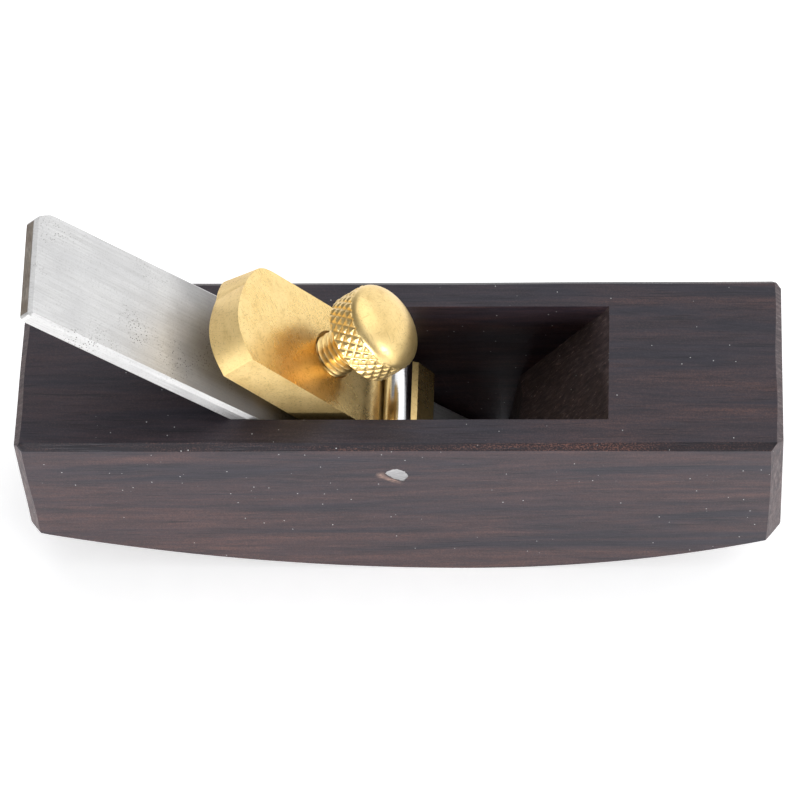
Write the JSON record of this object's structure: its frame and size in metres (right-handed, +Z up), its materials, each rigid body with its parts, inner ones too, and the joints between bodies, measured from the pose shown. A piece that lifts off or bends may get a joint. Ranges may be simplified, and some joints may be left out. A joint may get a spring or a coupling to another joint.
{
  "type": "hand plane",
  "caption": "Small compass-soled wooden hand plane with a steel iron held by a brass lever cap and knurled thumb screw.",
  "frame": {"origin": "under the middle of the stock, level with the lowest line of the curved sole", "axes": "+X along the stock towards the toe, +Y across the stock, +Z up"},
  "size_m": [0.105, 0.0276, 0.0593],
  "materials": {
    "ebony": "oiled satin, near black with brown streaks",
    "pin_steel": "polished rod, filed flush at the ends",
    "iron_steel": "satin ground lengthwise",
    "cap_brass": "satin, fine pits and scratches",
    "thread_brass": "cut thread",
    "knob_brass": "polished dome, diamond knurl"
  },
  "bodies": {
    "root": {"stock": "ebony", "cross_pin": "pin_steel"},
    "iron": {"iron": "iron_steel"},
    "lever_cap": {"lever_cap": "cap_brass"},
    "screw_stud": {"thumb_screw_stud": "thread_brass"},
    "screw_knob": {"thumb_screw_knob": "knob_brass"}
  },
  "joints": [
    {"name": "iron_slide", "type": "slide", "parent": "root", "child": "iron", "axis": [-0.707, -0.0192, 0.707], "range_m": [-0.0002, 0.04]},
    {"name": "cap_pivot", "type": "hinge", "parent": "root", "child": "lever_cap", "pos_m": [-0.0006, 0, 0.02495], "axis": [0, -1, 0], "range_deg": [0, 5.64]},
    {"name": "screw_travel", "type": "slide", "parent": "lever_cap", "child": "screw_stud", "axis": [0.7581, 0.0785, 0.6474], "range_m": [0, 0.00121]},
    {"name": "screw_turn", "type": "hinge", "parent": "screw_stud", "child": "screw_knob", "pos_m": [-0.00896, 0, 0.03403], "axis": [0.7581, 0.0785, 0.6474], "range_deg": [0, 480]}
  ],
  "couplings": [
    {"joint": "screw_travel", "follows": "screw_turn", "m_per_rad": 0.00014435},
    {"joint": "cap_pivot", "follows": "screw_turn", "ratio": 0.011698}
  ]
}
